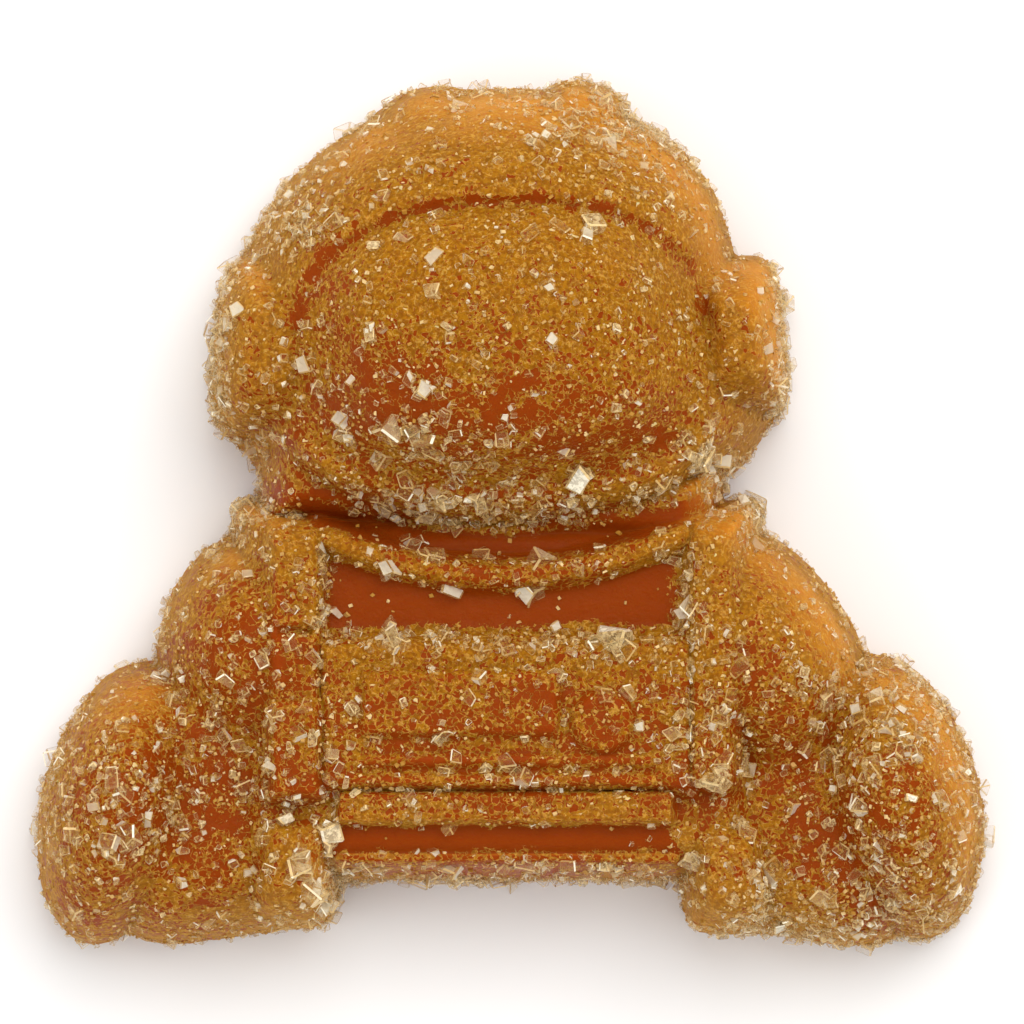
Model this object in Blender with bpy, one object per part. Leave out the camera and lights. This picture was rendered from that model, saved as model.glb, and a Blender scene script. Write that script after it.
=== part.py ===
"""Sugar-dusted jelly sweet in the form of a seated astronaut, lying on its flat back.

The sweet is cast in one open mould, so its back is flat and everything else is relief over
that back: a height for every point of the plan. Plan and heights are worked out here from
the sizes of the figure's own parts, in millimetres. The head points along +Y and the front
faces +Z. The origin is on the surface it lies on, under the middle of its box.
"""

import bmesh
import bpy
import numpy as np
from mathutils.bvhtree import BVHTree
from mathutils.kdtree import KDTree

MM = 0.001

# Driving sizes, in millimetres.
HELMET_RISE = 10.8
HELMET_EDGE = 4.3
TORSO_RISE = 7.4
TORSO_EDGE = 1.5
FLOOR_REACH = 1.6
FLOOR_RISE = 5.4
NECK_RISE = 7.2
CHIN_FALL = 0.26
CHIN_FALL_FROM = 3.0
CHIN_FALL_LENGTH = 4.5
CHIN_EDGE_WIDTH = 1.6
BLEND = 0.5
LIMB_BLEND = 1.3
WALL_REACH = 0.35
TRIM = 0.1
GRID = 0.17
BODY_FACES = 4700

# Rings of the side wall: how far in from the foot, as a share of the wall's reach, and how
# high, as a share of the rise there.
WALL = [(1.0, 1.0), (0.6, 1.0), (0.3, 1.0), (0.12, 1.0), (0.03, 1.0), (0.0, 0.0)]

# The sugar crystals that stand clear of the finer dusting.
CRYSTALS = 225
CRYSTAL_SIDES = (0.42, 1.05)
CRYSTAL_SEED = 11
CREASE_REACH = 0.6
CLEARANCE = 0.03
TURNS = 40

# Plans of the figure's large parts: centre x and y, half width, half length, then the turn in
# degrees and the power of the superellipse, or the corner's radius and the turn of a box.
DOME = (-0.9, 7.5, 8.4, 6.6, 12)
JAW = (-0.3, 4.3, 9.25, 5.25, 2, 2.3)
NECK = (-0.7, 0.6, 7.8, 1.9, 0.3, -4.5)
TORSO = (-0.5, -5.95, 8.85, 6.4, 0.35)
THROAT = (-0.4, -1.5, 7.75, 5.0, 1.0)
VISOR = (-0.3, 5.45, 6.85, 4.95, 2, 2.4)

# Arcs round the throat: centre x and y, radius.
CHIN_EDGE = (-0.4, 15.2, 16.0)
THROAT_GROOVE = (-0.4, 15.2, 16.35)
COLLAR_RING = (-0.4, 10.9, 13.0)

# Raised work on the suit's front: centre x and y, half width, half length, corner radius.
LEFT_STRAP = (-7.2, -4.9, 1.15, 4.9, 0.4)
RIGHT_STRAP = (6.75, -4.6, 1.15, 4.8, 0.4)
STRAP_POUCH = (-7.0, -7.9, 1.35, 1.75, 0.3)
STRAP_SLOT = (-7.2, -3.95, 0.75, 0.28, 0.2)
CHEST_PACK = (-0.2, -6.75, 6.6, 2.85, 0.35)
PACK_WINDOW = (-1.7, -6.35, 3.4, 1.2, 0.3)
PACK_RIBS = (-0.2, -8.65, 5.2, 0.85, 0.3)
PACK_LEDGE = (-0.2, -9.8, 5.7, 0.65, 0.2)
PACK_DIAL = (3.0, -6.95, 1.15)
HEM = (-0.2, -11.25, 5.9)
BELT_LINE = -10.85

# Height of each raised or sunk step over the ground round it, and the width it is eased over.
PACK_STEP = (1.0, 0.7)
WINDOW_STEP = (0.4, 0.35)
DIAL_STEP = (0.4, 0.35)
RIB_STEP = (0.14, 0.4)
RIB_PITCH = 0.7
LEDGE_STEP = (0.85, 0.3)
HEM_STEP = (0.75, 0.35)
STRAP_STEP = (1.1, 0.6)
POUCH_STEP = (0.35, 0.3)
SLOT_STEP = (0.5, 0.25)
COLLAR_STEP = (0.9, 0.6)
COLLAR_HALF_WIDTH = 0.72
COLLAR_REACH = 6.7
THROAT_STEP = (0.5, 0.4)
THROAT_HALF_WIDTH = 0.7
THROAT_CLEAR = 0.3

# The window: its groove and pane, how far inside the rim each step starts, the bulge with the
# width of its foot, and the lip's height, distance outside the rim and half width.
VISOR_GROOVE = (0.3, 0.5)
VISOR_GROOVE_INSET = -0.3
VISOR_PANE = (0.35, 0.6)
VISOR_PANE_INSET = 0.2
VISOR_BULGE = (2.0, 1.6)
VISOR_LIP = (0.3, 0.8, 0.7)
VISOR_TOP = 6.0
VISOR_TOP_LENGTH = 2.5
LIP_TOP = 4.5
LIP_TOP_LENGTH = 4.0
RELIEF_FROM = 6.5
RELIEF_LENGTH = 1.5

# Parts of the figure: centre x and y, half width, half length, turn in degrees, power of the
# superellipse, height over the back, width of the rounded edge.
EAR_PODS = [
    (-8.2, 5.45, 1.8, 3.35, -4.5, 3.2, 8.6, 1.3),
    (7.5, 5.8, 1.6, 2.85, 5, 4.5, 8.6, 1.3),
]
HIPS = [
    (-10.2, -9.6, 3.7, 4.75, 7.5, 4.5, 6.8, 2.0),
    (9.9, -10.5, 4.0, 3.8, -9, 4.5, 6.3, 2.0),
]
HANDS = [
    (-7.35, -11.75, 1.65, 2.25, -2, 3.4, 8.1, 1.2),
    (7.2, -11.95, 1.6, 2.2, 2, 4.0, 8.1, 1.2),
]
CREST_LAMPS = [
    (-2.9, 12.6, 2.1, 1.6, 20, 2.0, 6.5, 1.5),
    (2.25, 12.75, 1.65, 1.65, -17, 2.6, 6.5, 1.5),
]
UPPER_ARMS = [
    (-8.4, -4.7, 3.5, 4.2, -7, 2.0, 8.3, 3.2),
    (8.0, -4.9, 3.5, 5.25, 34, 2.0, 8.3, 3.2),
]
BOOTS = [
    (-13.1, -9.75, 2.65, 4.9, -14, 1.95, 8.9, 2.65),
    (12.85, -9.5, 2.8, 4.95, 14, 1.95, 8.9, 2.8),
]
LIMBS = EAR_PODS + HIPS + HANDS + CREST_LAMPS + UPPER_ARMS + BOOTS


def turned(x, y, cx, cy, degrees):
    """The plan coordinates as seen from a part's own centre and turn."""
    a = np.radians(degrees)
    dx, dy = x - cx, y - cy
    return dx * np.cos(a) + dy * np.sin(a), dy * np.cos(a) - dx * np.sin(a)


def box_gap(x, y, cx, cy, half_x, half_y, corner, degrees=0.0):
    """Distance outside a round-cornered box, negative inside it."""
    u, v = turned(x, y, cx, cy, degrees)
    qx = np.abs(u) - half_x + corner
    qy = np.abs(v) - half_y + corner
    outside = np.hypot(np.maximum(qx, 0), np.maximum(qy, 0))
    return outside + np.minimum(np.maximum(qx, qy), 0) - corner


def oval_reach(x, y, cx, cy, half_x, half_y, degrees=0.0, power=2.0):
    """1 on the rim of a superellipse, less inside it and more outside."""
    u, v = turned(x, y, cx, cy, degrees)
    return (np.abs(u / half_x) ** power + np.abs(v / half_y) ** power) ** (1 / power)


def oval_gap(x, y, cx, cy, half_x, half_y, degrees=0.0, power=2.0):
    """Distance outside a superellipse, near enough close to its rim."""
    reach = oval_reach(x, y, cx, cy, half_x, half_y, degrees, power)
    return (reach - 1) * min(half_x, half_y)


def soft_min(a, b, blend=0.3):
    """The smaller of two values, with the crease between them rounded."""
    share = np.clip(0.5 + 0.5 * (b - a) / blend, 0, 1)
    return b + (a - b) * share - blend * share * (1 - share)


def soft_max(a, b, blend=0.35):
    return -soft_min(-a, -b, blend)


def eased(t):
    """0 below 0, 1 above 1 and a smooth rise between."""
    t = np.clip(t, 0, 1)
    return t * t * (3 - 2 * t)


def rounded(inset, edge, power=2.2):
    """The share of its height that a cast edge reaches this far in from its foot."""
    t = np.clip(inset / edge, 0, 1)
    return (1 - (1 - t) ** power) ** (1 / power)


def step_up(gap, step):
    """A raised patch: 0 outside the gap's zero line, the step's height inside it."""
    height, width = step
    return height * eased(-gap / width)


def helmet_gap(x, y, blend=0.3):
    """The round dome and the wider jaw as one outline."""
    return soft_min(oval_gap(x, y, *DOME), oval_gap(x, y, *JAW), blend)


def outline(x, y):
    """Distance outside the sweet's foot on the table, negative inside it."""
    gap = soft_min(helmet_gap(x, y), box_gap(x, y, *NECK))
    gap = soft_min(gap, box_gap(x, y, *TORSO))
    for *plan, _, _ in LIMBS:
        gap = soft_min(gap, oval_gap(x, y, *plan))
    return gap + TRIM


def past_arc(x, y, arc):
    """Distance outside a circle, given by its centre and radius."""
    cx, cy, radius = arc
    return np.hypot(x - cx, y - cy) - radius


def visor_inset(x, y):
    """How far inside the window's rim a point lies."""
    return (1 - oval_reach(x, y, *VISOR)) * VISOR[3]


def visor_relief(x, y):
    """The window's groove, the glass that bulges inside it and the thick lip below it. The
    groove runs round the top only."""
    inset = visor_inset(x, y)
    top = eased((y - VISOR_TOP) / VISOR_TOP_LENGTH)
    groove = step_up(VISOR_GROOVE_INSET - inset, VISOR_GROOVE)
    pane = step_up(VISOR_PANE_INSET - inset, VISOR_PANE)
    tall, foot_width = VISOR_BULGE
    bulge = tall * (1 - (1 - inset / VISOR[3]) ** 2) * eased(inset / foot_width)
    tall, away, half_width = VISOR_LIP
    lip = tall * np.exp(-(((inset + away) / half_width) ** 2))
    return top * (pane - groove) + bulge + lip * eased((LIP_TOP - y) / LIP_TOP_LENGTH)


def helmet_rise(x, y):
    """The shell runs on under the chin, where a wide arc ends it over the collar."""
    shell_gap = soft_min(helmet_gap(x, y, 1.0), box_gap(x, y, *THROAT), 1.0)
    shell = HELMET_RISE * rounded(-TRIM - shell_gap, HELMET_EDGE)
    shell = shell * (1 - CHIN_FALL * eased((CHIN_FALL_FROM - y) / CHIN_FALL_LENGTH))
    chin = rounded(-past_arc(x, y, CHIN_EDGE), CHIN_EDGE_WIDTH)
    return (shell + visor_relief(x, y) * eased((shell - RELIEF_FROM) / RELIEF_LENGTH)) * chin


def chest_relief(x, y):
    """The pack on the chest with its window, dial and ribs, and the belt along its foot."""
    pack = step_up(box_gap(x, y, *CHEST_PACK), PACK_STEP)
    window = step_up(box_gap(x, y, *PACK_WINDOW), WINDOW_STEP)
    dial = step_up(past_arc(x, y, PACK_DIAL), DIAL_STEP)
    ribs = np.sin(2 * np.pi * y / RIB_PITCH) * step_up(box_gap(x, y, *PACK_RIBS), RIB_STEP)
    ledge = step_up(box_gap(x, y, *PACK_LEDGE), LEDGE_STEP)
    middle, top, half_width = HEM
    hem = step_up(y - top, HEM_STEP) * eased((half_width - np.abs(x - middle)) / HEM_STEP[1])
    return np.maximum(pack + window + dial + ribs, np.maximum(ledge, hem))


def torso_rise(x, y):
    """The suit's front: throat, collar ring, two shoulder straps and the chest pack."""
    throat = step_up(np.abs(past_arc(x, y, THROAT_GROOVE)) - THROAT_HALF_WIDTH, THROAT_STEP)
    collar = step_up(np.abs(past_arc(x, y, COLLAR_RING)) - COLLAR_HALF_WIDTH, COLLAR_STEP)
    collar = collar * eased((COLLAR_REACH - np.abs(x - COLLAR_RING[0])) / COLLAR_STEP[1])
    straps = soft_min(box_gap(x, y, *LEFT_STRAP), box_gap(x, y, *RIGHT_STRAP))
    straps = step_up(straps, STRAP_STEP) + step_up(box_gap(x, y, *STRAP_POUCH), POUCH_STEP)
    straps = straps - step_up(box_gap(x, y, *STRAP_SLOT), SLOT_STEP)
    raised = np.maximum(np.maximum(collar, straps), chest_relief(x, y))
    clear = np.clip(1 - raised / THROAT_CLEAR, 0, 1)
    return (TORSO_RISE + raised - throat * clear) * rounded(-TRIM - box_gap(x, y, *TORSO), TORSO_EDGE)


def rise(x, y):
    """How high the sweet stands over its back at each point of the plan."""
    top = soft_max(torso_rise(x, y), helmet_rise(x, y), BLEND)
    top = soft_max(top, NECK_RISE * rounded(-TRIM - box_gap(x, y, *NECK), TORSO_EDGE), BLEND)
    for *plan, tall, edge in LIMBS:
        top = soft_max(top, tall * rounded(-TRIM - oval_gap(x, y, *plan), edge), LIMB_BLEND)
    return soft_max(top, FLOOR_RISE * rounded(-outline(x, y), FLOOR_REACH), BLEND)


def at_inset(x, y, inset, step=0.01):
    """Plan points moved straight out or in until they lie this far inside the foot."""
    for _ in range(4):
        slope_x = (outline(x + step, y) - outline(x - step, y)) / (2 * step)
        slope_y = (outline(x, y + step) - outline(x, y - step)) / (2 * step)
        move = (outline(x, y) + inset) / np.maximum(slope_x**2 + slope_y**2, 0.1)
        x, y = x - slope_x * move, y - slope_y * move
    return x, y


def lone_edges(quads):
    """The directed edges that only one face uses, as pairs of point numbers."""
    ends = np.concatenate([quads[:, [k, (k + 1) % 4]] for k in range(4)])
    forward = ends[:, 0] * (quads.max() + 1) + ends[:, 1]
    backward = ends[:, 1] * (quads.max() + 1) + ends[:, 0]
    return ends[~np.isin(forward, backward)]


def plan_cells(x, y):
    """The grid's cells that lie well inside the outline, each with its four corners."""
    rows, columns = x.shape
    number = np.arange(rows * columns).reshape(rows, columns)
    corners = [number[:-1, :-1], number[:-1, 1:], number[1:, 1:], number[1:, :-1]]
    cells = np.stack(corners, axis=-1).reshape(-1, 4)
    deep = (-outline(x, y) > WALL_REACH + 0.1).ravel()
    cells = cells[deep[cells].all(axis=1)]
    while True:
        starts, uses = np.unique(lone_edges(cells)[:, 0], return_counts=True)
        pinched = starts[uses > 1]
        if not len(pinched):
            return cells
        cells = cells[~np.isin(cells, pinched).any(axis=1)]


def body_mesh():
    """The relief over a fine square grid, with rings of wall down to the flat back."""
    x, y = np.meshgrid(np.arange(-16.5, 16.5, GRID), np.arange(-15.0, 15.0, GRID))
    cells = plan_cells(x, y)
    edges = lone_edges(cells)
    used, cells = np.unique(cells, return_inverse=True)
    cells = cells.reshape(-1, 4)
    edges = np.searchsorted(used, edges)
    x, y = x.ravel()[used], y.ravel()[used]
    points = [np.stack([x, y, rise(x, y)], axis=1)]
    rim = edges[:, 0]
    order = np.argsort(rim)
    after = order[np.searchsorted(rim[order], edges[:, 1])]
    before = np.argsort(after)
    ring_x, ring_y, ring = x[rim], y[rim], rim
    faces = [cells]
    count = len(x)
    for inset, lift in WALL:
        for _ in range(3):
            ring_x = (ring_x[before] + 2 * ring_x + ring_x[after]) / 4
            ring_y = (ring_y[before] + 2 * ring_y + ring_y[after]) / 4
            ring_x, ring_y = at_inset(ring_x, ring_y, inset * WALL_REACH)
        ring_z = lift * np.maximum(rise(ring_x, ring_y), 0.5)
        points.append(np.stack([ring_x, ring_y, ring_z], axis=1))
        below = count + np.arange(len(rim))
        faces.append(np.stack([ring, below, below[after], ring[after]], axis=1))
        ring, count = below, count + len(rim)
    mesh = bpy.data.meshes.new("gummy_astronaut")
    mesh.from_pydata(np.concatenate(points) * MM, [], np.concatenate(faces).tolist())
    solid = bmesh.new()
    solid.from_mesh(mesh)
    bmesh.ops.holes_fill(solid, edges=[e for e in solid.edges if e.is_boundary], sides=0)
    bmesh.ops.recalc_face_normals(solid, faces=solid.faces)
    solid.to_mesh(mesh)
    solid.free()
    return mesh


def sweet_material():
    material = bpy.data.materials.new("sugared_jelly")
    material.use_nodes = True
    shader = material.node_tree.nodes["Principled BSDF"]
    shader.inputs["Base Color"].default_value = (0.42, 0.15, 0.015, 1.0)
    shader.inputs["Roughness"].default_value = 0.45
    shader.inputs["Metallic"].default_value = 0.0
    return material


def applied(body, modifier):
    """Makes the modifier's result the object's own mesh."""
    graph = bpy.context.evaluated_depsgraph_get()
    mesh = bpy.data.meshes.new_from_object(body.evaluated_get(graph))
    body.modifiers.remove(modifier)
    body.data = mesh


def sugar_share(x, y):
    """How thickly crystals lie: thin in the two collar grooves and along the belt."""
    chin = eased((0.55 - np.abs(past_arc(x, y, THROAT_GROOVE))) / 0.3)
    across = eased((6.2 - np.abs(x - COLLAR_RING[0])) / 0.8)
    under_collar = eased((past_arc(x, y, COLLAR_RING) - 0.5) / 0.3) * eased((y + 3.9) / 0.3)
    belt = eased((0.6 - np.abs(y - BELT_LINE)) / 0.3)
    return 1 - 0.95 * np.maximum(chin, across * np.maximum(under_collar, belt))


def in_crease(x, y):
    """True where the relief or the outline turns inwards, so that a block would bridge it."""
    steps = [(CREASE_REACH, 0), (-CREASE_REACH, 0), (0, CREASE_REACH), (0, -CREASE_REACH)]
    sunken = sum(rise(x + dx, y + dy) for dx, dy in steps) / 4 - rise(x, y)
    notched = outline(x, y) - sum(outline(x + dx, y + dy) for dx, dy in steps) / 4
    return (sunken > 0.06) | (notched > 0.04)


def crystal_spots(mesh, rng):
    """Points spread evenly over the sugared surface, the largest crystals placed first."""
    corners = np.empty(len(mesh.vertices) * 3)
    mesh.vertices.foreach_get("co", corners)
    mesh.calc_loop_triangles()
    triples = np.empty(len(mesh.loop_triangles) * 3, np.int32)
    mesh.loop_triangles.foreach_get("vertices", triples)
    a, b, c = corners.reshape(-1, 3)[triples.reshape(-1, 3)].transpose(1, 0, 2) / MM
    cross = np.cross(b - a, c - a)
    area = np.linalg.norm(cross, axis=1)
    weight = area * (np.minimum(np.minimum(a[:, 2], b[:, 2]), c[:, 2]) > 0.6)
    weight *= sugar_share(a[:, 0], a[:, 1]) * ~in_crease(a[:, 0], a[:, 1])
    face = rng.choice(len(a), 6000, p=weight / weight.sum())
    s, t = np.sqrt(rng.random(6000)), rng.random(6000)
    spots = a[face].T * (1 - s) + b[face].T * s * (1 - t) + c[face].T * s * t
    spots, normals = spots.T, cross[face] / area[face, None]
    low, high = CRYSTAL_SIDES
    sizes = low + (high - low) * (1 - np.linspace(0, 1, CRYSTALS) ** 0.35)
    chosen = []
    for size in sizes:
        spacing = 0.75 + 0.9 * size
        for k, spot in enumerate(spots):
            if all(np.sum((spot - spots[j]) ** 2) > spacing**2 for j, _ in chosen):
                chosen.append((k, size))
                break
    return [(spots[k], normals[k], size) for k, size in chosen]


def crystal_points(spot, normal, size, rng):
    """The eight corners of a slanted block, turned freely and half sunk in the jelly."""
    signs = np.array([(i, j, k) for i in (-1, 1) for j in (-1, 1) for k in (-1, 1)])
    sides = size * np.array([1.0, rng.uniform(0.7, 1.0), rng.uniform(0.55, 0.85)]) / 2
    block = signs * sides
    block[:, 0] += block[:, 2] * rng.uniform(-0.3, 0.3)
    block[signs[:, 2] > 0, :2] *= rng.uniform(0.75, 0.95)
    tilted = normal + rng.normal(0, 0.3, 3)
    tilted /= np.linalg.norm(tilted)
    across = np.cross(tilted, rng.normal(0, 1, 3))
    across /= np.linalg.norm(across)
    return spot + normal * size * 0.1 + block @ np.stack([across, np.cross(tilted, across), tilted])


def meets_cleanly(points, sides, skin, skin_corners):
    """True where no corner of a block lies close to the skin, and no corner of the skin close
    to the block, so that the two cross each other without slivers."""
    if any(skin.find_nearest(point)[3] < CLEARANCE for point in points):
        return False
    block = BVHTree.FromPolygons(points.tolist(), sides)
    reach = np.linalg.norm(points - points.mean(axis=0), axis=1).max()
    near = skin_corners.find_range(points.mean(axis=0), reach + CLEARANCE)
    return all(block.find_nearest(corner)[3] > CLEARANCE for corner, _, _ in near)


def crystal_objects(mesh, collection):
    """One small closed block for each crystal, turned until it meets the skin cleanly."""
    rng = np.random.default_rng(CRYSTAL_SEED)
    corners = np.empty(len(mesh.vertices) * 3)
    mesh.vertices.foreach_get("co", corners)
    corners = (corners.reshape(-1, 3) / MM).tolist()
    skin = BVHTree.FromPolygons(corners, [list(face.vertices) for face in mesh.polygons])
    skin_corners = KDTree(len(corners))
    for number, corner in enumerate(corners):
        skin_corners.insert(corner, number)
    skin_corners.balance()
    sides = [(0, 1, 3, 2), (4, 6, 7, 5), (0, 4, 5, 1), (2, 3, 7, 6), (0, 2, 6, 4), (1, 5, 7, 3)]
    for spot, normal, size in crystal_spots(mesh, rng):
        for _ in range(TURNS):
            points = crystal_points(spot, normal, size, rng)
            points[:, 2] = np.maximum(points[:, 2], 0.2)
            if meets_cleanly(points, sides, skin, skin_corners):
                block = bpy.data.meshes.new("crystal")
                block.from_pydata(points * MM, [], sides)
                collection.objects.link(bpy.data.objects.new("crystal", block))
                break


def one_shell(mesh):
    """Keeps the largest closed shell and drops any loose scrap."""
    solid = bmesh.new()
    solid.from_mesh(mesh)
    bmesh.ops.triangulate(solid, faces=solid.faces)
    left, shells = set(solid.faces), []
    while left:
        shell, reached = set(), [next(iter(left))]
        while reached:
            face = reached.pop()
            if face not in shell:
                shell.add(face)
                pairs = [edge.link_faces for edge in face.edges if len(edge.link_faces) == 2]
                reached += [other for pair in pairs for other in pair]
        left -= shell
        shells.append(shell)
    keep = max(shells, key=len)
    scraps = [face for face in solid.faces if face not in keep]
    bmesh.ops.delete(solid, geom=scraps, context="FACES")
    solid.to_mesh(mesh)
    solid.free()


def centred(mesh):
    """Moves the mesh so that its box stands on the origin, middle over it."""
    points = np.empty(len(mesh.vertices) * 3)
    mesh.vertices.foreach_get("co", points)
    points = points.reshape(-1, 3)
    low, high = points.min(axis=0), points.max(axis=0)
    points -= np.array([(low[0] + high[0]) / 2, (low[1] + high[1]) / 2, low[2]])
    mesh.vertices.foreach_set("co", points.ravel())
    mesh.update()


for leftover in list(bpy.data.objects):
    bpy.data.objects.remove(leftover)

gummy = bpy.data.objects.new("gummy_astronaut", body_mesh())
bpy.context.scene.collection.objects.link(gummy)

thin = gummy.modifiers.new("fewer_faces", "DECIMATE")
thin.ratio = min(1.0, BODY_FACES / (2 * len(gummy.data.polygons)))
applied(gummy, thin)

sugar = bpy.data.collections.new("sugar")
bpy.context.scene.collection.children.link(sugar)
crystal_objects(gummy.data, sugar)
join = gummy.modifiers.new("sugar_joined", "BOOLEAN")
join.operation = "UNION"
join.operand_type = "COLLECTION"
join.collection = sugar
join.solver = "MANIFOLD"
applied(gummy, join)
for crystal in list(sugar.objects):
    bpy.data.objects.remove(crystal)
bpy.data.collections.remove(sugar)

one_shell(gummy.data)
centred(gummy.data)
gummy.data.materials.clear()
gummy.data.materials.append(sweet_material())
gummy.data.shade_flat()
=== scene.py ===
import bmesh
import bpy
import numpy as np
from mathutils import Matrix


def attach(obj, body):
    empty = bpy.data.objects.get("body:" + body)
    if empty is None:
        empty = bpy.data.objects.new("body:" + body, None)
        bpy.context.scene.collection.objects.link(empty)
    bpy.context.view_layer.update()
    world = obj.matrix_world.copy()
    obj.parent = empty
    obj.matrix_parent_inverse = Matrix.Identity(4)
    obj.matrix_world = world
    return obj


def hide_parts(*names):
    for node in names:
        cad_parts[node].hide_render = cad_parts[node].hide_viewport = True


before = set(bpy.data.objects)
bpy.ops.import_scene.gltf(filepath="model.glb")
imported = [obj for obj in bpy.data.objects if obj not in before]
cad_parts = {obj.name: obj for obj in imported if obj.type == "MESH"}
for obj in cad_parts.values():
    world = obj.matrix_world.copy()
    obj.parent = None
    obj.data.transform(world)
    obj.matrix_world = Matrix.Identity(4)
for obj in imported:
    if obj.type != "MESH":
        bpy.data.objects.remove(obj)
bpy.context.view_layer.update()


# The sweet's body. The real one is pectin jelly cast in an open mould, so its back is flat
# and its front is relief: a helmet with a bulging window, a collar, a chest pack between two
# straps, arms, hands, hips and boots. A fine crust of half-melted sugar is part of the skin.

MM = 0.001
HELMET_RISE = 10.8
HELMET_EDGE = 4.3
TORSO_RISE = 7.4
TORSO_EDGE = 1.5
FLOOR_REACH = 1.6
FLOOR_RISE = 5.4
NECK_RISE = 7.2
CHIN_FALL = 0.26
CHIN_FALL_FROM = 3.0
CHIN_FALL_LENGTH = 4.5
CHIN_EDGE_WIDTH = 1.6
BLEND = 0.5
LIMB_BLEND = 1.3
WALL_REACH = 0.35
TRIM = 0.1
SKIN_GRID = 0.092
PLAN_HALF_WIDTH = 16.5
PLAN_HALF_LENGTH = 15.0
FOOT_SAMPLE_HEIGHT = 0.05

# Roughness of the skin: cell size and height of each layer of grains, the same for the slow
# swell with the height it is lowered by, and the share of all of it that bare jelly keeps.
COARSE_GRAINS = (0.45, 0.10)
FINE_GRAINS = (0.24, 0.05)
SLOW_SWELL = (0.9, 0.05, 0.03)
BARE_ROUGHNESS = 0.25
FOOT_FADE = 0.4

# Plans of the figure's large parts: centre x and y, half width, half length, then the turn in
# degrees and the power of the superellipse, or the corner's radius and the turn of a box.
DOME = (-0.9, 7.5, 8.4, 6.6, 12)
JAW = (-0.3, 4.3, 9.25, 5.25, 2, 2.3)
NECK = (-0.7, 0.6, 7.8, 1.9, 0.3, -4.5)
TORSO = (-0.5, -5.95, 8.85, 6.4, 0.35)
THROAT = (-0.4, -1.5, 7.75, 5.0, 1.0)
VISOR = (-0.3, 5.45, 6.85, 4.95, 2, 2.4)

# Arcs round the throat: centre x and y, radius.
CHIN_EDGE = (-0.4, 15.2, 16.0)
THROAT_GROOVE = (-0.4, 15.2, 16.35)
COLLAR_RING = (-0.4, 10.9, 13.0)

# Raised work on the suit's front: centre x and y, half width, half length, corner radius.
LEFT_STRAP = (-7.2, -4.9, 1.15, 4.9, 0.4)
RIGHT_STRAP = (6.75, -4.6, 1.15, 4.8, 0.4)
STRAP_POUCH = (-7.0, -7.9, 1.35, 1.75, 0.3)
STRAP_SLOT = (-7.2, -3.95, 0.75, 0.28, 0.2)
CHEST_PACK = (-0.2, -6.75, 6.6, 2.85, 0.35)
PACK_WINDOW = (-1.7, -6.35, 3.4, 1.2, 0.3)
PACK_RIBS = (-0.2, -8.65, 5.2, 0.85, 0.3)
PACK_LEDGE = (-0.2, -9.8, 5.7, 0.65, 0.2)
PACK_DIAL = (3.0, -6.95, 1.15)
HEM = (-0.2, -11.25, 5.9)
BELT_LINE = -10.85

# Height of each raised or sunk step over the ground round it, and the width it is eased over.
PACK_STEP = (1.0, 0.7)
WINDOW_STEP = (0.4, 0.35)
DIAL_STEP = (0.4, 0.35)
RIB_STEP = (0.14, 0.4)
RIB_PITCH = 0.7
LEDGE_STEP = (0.85, 0.3)
HEM_STEP = (0.75, 0.35)
STRAP_STEP = (1.1, 0.6)
POUCH_STEP = (0.35, 0.3)
SLOT_STEP = (0.5, 0.25)
COLLAR_STEP = (0.9, 0.6)
COLLAR_HALF_WIDTH = 0.72
COLLAR_REACH = 6.7
THROAT_STEP = (0.5, 0.4)
THROAT_HALF_WIDTH = 0.7
THROAT_CLEAR = 0.3

# The window: its groove and pane, how far inside the rim each step starts, the bulge with the
# width of its foot, and the lip's height, distance outside the rim and half width.
VISOR_GROOVE = (0.3, 0.5)
VISOR_GROOVE_INSET = -0.3
VISOR_PANE = (0.35, 0.6)
VISOR_PANE_INSET = 0.2
VISOR_BULGE = (2.0, 1.6)
VISOR_LIP = (0.3, 0.8, 0.7)
VISOR_TOP = 6.0
VISOR_TOP_LENGTH = 2.5
LIP_TOP = 4.5
LIP_TOP_LENGTH = 4.0
RELIEF_FROM = 6.5
RELIEF_LENGTH = 1.5

# Centre x and y, half width, half length, turn in degrees, power of the superellipse, height
# over the back and width of the rounded edge, in millimetres.
EAR_PODS = [
    (-8.2, 5.45, 1.8, 3.35, -4.5, 3.2, 8.6, 1.3),
    (7.5, 5.8, 1.6, 2.85, 5, 4.5, 8.6, 1.3),
]
HIPS = [
    (-10.2, -9.6, 3.7, 4.75, 7.5, 4.5, 6.8, 2.0),
    (9.9, -10.5, 4.0, 3.8, -9, 4.5, 6.3, 2.0),
]
HANDS = [
    (-7.35, -11.75, 1.65, 2.25, -2, 3.4, 8.1, 1.2),
    (7.2, -11.95, 1.6, 2.2, 2, 4.0, 8.1, 1.2),
]
CREST_LAMPS = [
    (-2.9, 12.6, 2.1, 1.6, 20, 2.0, 6.5, 1.5),
    (2.25, 12.75, 1.65, 1.65, -17, 2.6, 6.5, 1.5),
]
UPPER_ARMS = [
    (-8.4, -4.7, 3.5, 4.2, -7, 2.0, 8.3, 3.2),
    (8.0, -4.9, 3.5, 5.25, 34, 2.0, 8.3, 3.2),
]
BOOTS = [
    (-13.1, -9.75, 2.65, 4.9, -14, 1.95, 8.9, 2.65),
    (12.85, -9.5, 2.8, 4.95, 14, 1.95, 8.9, 2.8),
]
LIMBS = EAR_PODS + HIPS + HANDS + CREST_LAMPS + UPPER_ARMS + BOOTS

# Wall rings from the skin's edge down to the table: share of the wall's reach, share of the rise.
WALL_RINGS = [(share**3, 1.0) for share in np.linspace(0.97, 0.3, 12)] + [
    (0.02, 0.66), (0.01, 0.33), (0.0, 0.0)
]

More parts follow.
